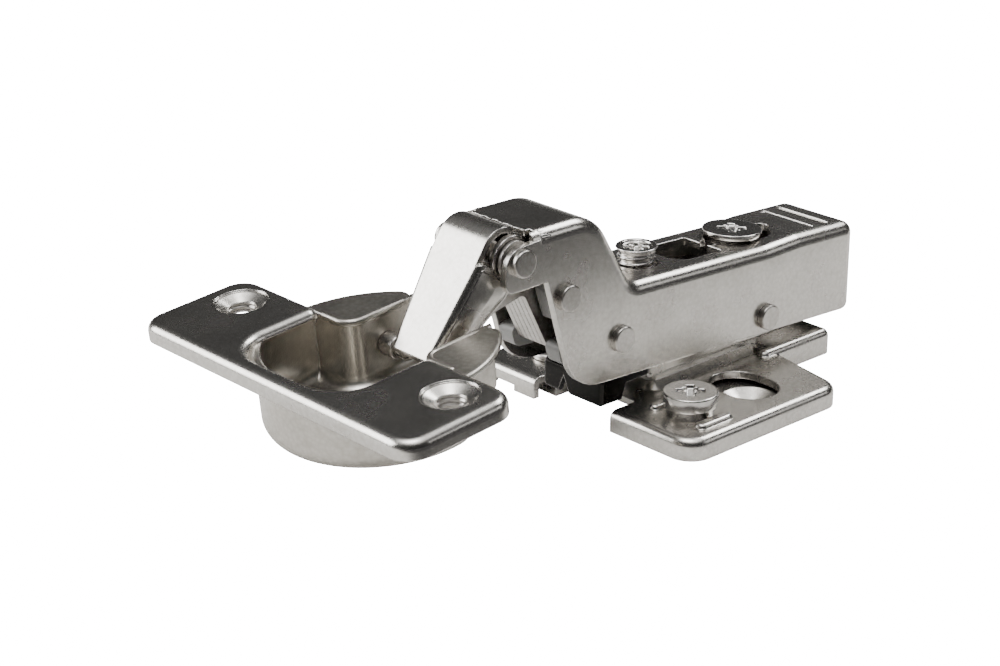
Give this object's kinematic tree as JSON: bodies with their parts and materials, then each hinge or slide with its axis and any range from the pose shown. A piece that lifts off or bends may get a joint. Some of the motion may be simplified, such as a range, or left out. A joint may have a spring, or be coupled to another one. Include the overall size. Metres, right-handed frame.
{
  "type": "concealed cup hinge",
  "caption": "Concealed cup hinge for a cabinet door: drilled-in cup, two links, adjustable arm with soft closing, and a clip-on mounting plate",
  "frame": {"origin": "centre between the two plate screw holes, on the face that lies on the cabinet side", "axes": "+X into the cabinet, away from the door; +Y along the hinge line; +Z away from the cabinet side"},
  "size_m": [0.1191, 0.0626, 0.0386],
  "materials": {
    "nickel_sheet": "satin nickel over stamped steel sheet",
    "nickel_cup": "satin nickel, drawn",
    "bright_screw": "polished nickel",
    "bright_rivet": "satin nickel, turned",
    "plain_steel": "nickel on punched plate",
    "spring_wire": "drawn wire",
    "pale_plastic": "moulded acetal",
    "dark_plastic": "moulded nylon"
  },
  "bodies": {
    "base": {"plate_base": "nickel_sheet", "guide_rivet": "bright_rivet"},
    "carriage": {"plate_carriage": "nickel_sheet", "adapter": "nickel_sheet", "clip_lever_pin": "bright_rivet", "clip_spring": "spring_wire"},
    "height_cam": {"height_cam_screw": "bright_screw"},
    "latch": {"clip_lever": "plain_steel"},
    "tilt_slider": {"tilt_pin": "bright_rivet"},
    "arm": {"arm": "nickel_sheet", "nose_pin": "bright_rivet", "nose_washer_left": "bright_rivet", "nose_washer_right": "bright_rivet", "lever_pin": "bright_rivet", "frame_pin": "bright_rivet", "cartridge_frame": "pale_plastic", "damper_barrel": "dark_plastic"},
    "overlay": {"overlay_screw": "bright_screw"},
    "depth_cam": {"depth_cam_screw": "bright_screw"},
    "outer_link": {"outer_link": "nickel_sheet"},
    "inner_link": {"inner_link_plate_1": "plain_steel", "inner_link_plate_2": "plain_steel", "inner_link_plate_3": "plain_steel", "inner_link_plate_4": "plain_steel", "inner_link_plate_5": "plain_steel", "inner_link_plate_6": "plain_steel", "inner_link_rivet": "bright_rivet"},
    "damper_rod": {"damper_rod": "dark_plastic"},
    "cup": {"cup": "nickel_cup", "cup_cover": "nickel_sheet", "cup_rivet_left": "bright_rivet", "cup_rivet_right": "bright_rivet", "cup_bush_left": "pale_plastic", "cup_bush_right": "pale_plastic"}
  },
  "joints": [
    {"name": "height_slide", "type": "slide", "parent": "base", "child": "carriage", "axis": [0, 1, 0], "range_m": [-0.002, 0.002]},
    {"name": "height_cam_turn", "type": "hinge", "parent": "carriage", "child": "height_cam", "pos_m": [-0.0143, -0.016, 0.003], "axis": [0, 0, 1], "range_deg": [-60.5, 60.5]},
    {"name": "clip_release", "type": "hinge", "parent": "carriage", "child": "latch", "pos_m": [0.0215, 0, 0.0114], "axis": [0, 1, 0], "range_deg": [0, 12], "stiffness_Nm_per_rad": 0.05, "springref_deg": -5.73},
    {"name": "depth_slide", "type": "slide", "parent": "carriage", "child": "tilt_slider", "axis": [1, 0, 0], "range_m": [-0.0015, 0.0015]},
    {"name": "side_tilt", "type": "hinge", "parent": "tilt_slider", "child": "arm", "pos_m": [0.0121, 0, 0.01065], "axis": [0, 1, 0], "range_deg": [-1.5, 1.5]},
    {"name": "overlay_turn", "type": "hinge", "parent": "tilt_slider", "child": "overlay", "pos_m": [-0.01079, 0, 0.02], "axis": [0, 0, 1], "range_deg": [-220, 220]},
    {"name": "depth_cam_turn", "type": "hinge", "parent": "arm", "child": "depth_cam", "pos_m": [0.01188, 0, 0.02262], "axis": [0.0488, 0, 0.9988], "range_deg": [-50.5, 50.5]},
    {"name": "fold", "type": "hinge", "parent": "arm", "child": "outer_link", "pos_m": [-0.0431, 0, 0.03365], "axis": [0, 1, 0], "range_deg": [-40.17, 4.7]},
    {"name": "lever_turn", "type": "hinge", "parent": "arm", "child": "inner_link", "pos_m": [-0.0337, 0, 0.02581], "axis": [0, 1, 0], "range_deg": [-43.6, 5.2]},
    {"name": "damper_stroke", "type": "slide", "parent": "arm", "child": "damper_rod", "axis": [0.9988, 0, -0.0488], "range_m": [-0.0005, 0.0036]},
    {"name": "cup_turn", "type": "hinge", "parent": "outer_link", "child": "cup", "pos_m": [-0.05574, 0, 0.0198], "axis": [0, 1, 0], "range_deg": [-16, 136.2]}
  ],
  "couplings": [
    {"joint": "height_cam_turn", "follows": "height_slide", "rad_per_m": -523.6},
    {"joint": "overlay_turn", "follows": "side_tilt", "ratio": 144},
    {"joint": "depth_cam_turn", "follows": "depth_slide", "rad_per_m": 581.78},
    {"joint": "lever_turn", "follows": "fold", "ratio": 1.0829},
    {"joint": "cup_turn", "follows": "fold", "ratio": -3.3836},
    {"joint": "damper_stroke", "follows": "fold", "m_per_rad": -0.00487}
  ]
}
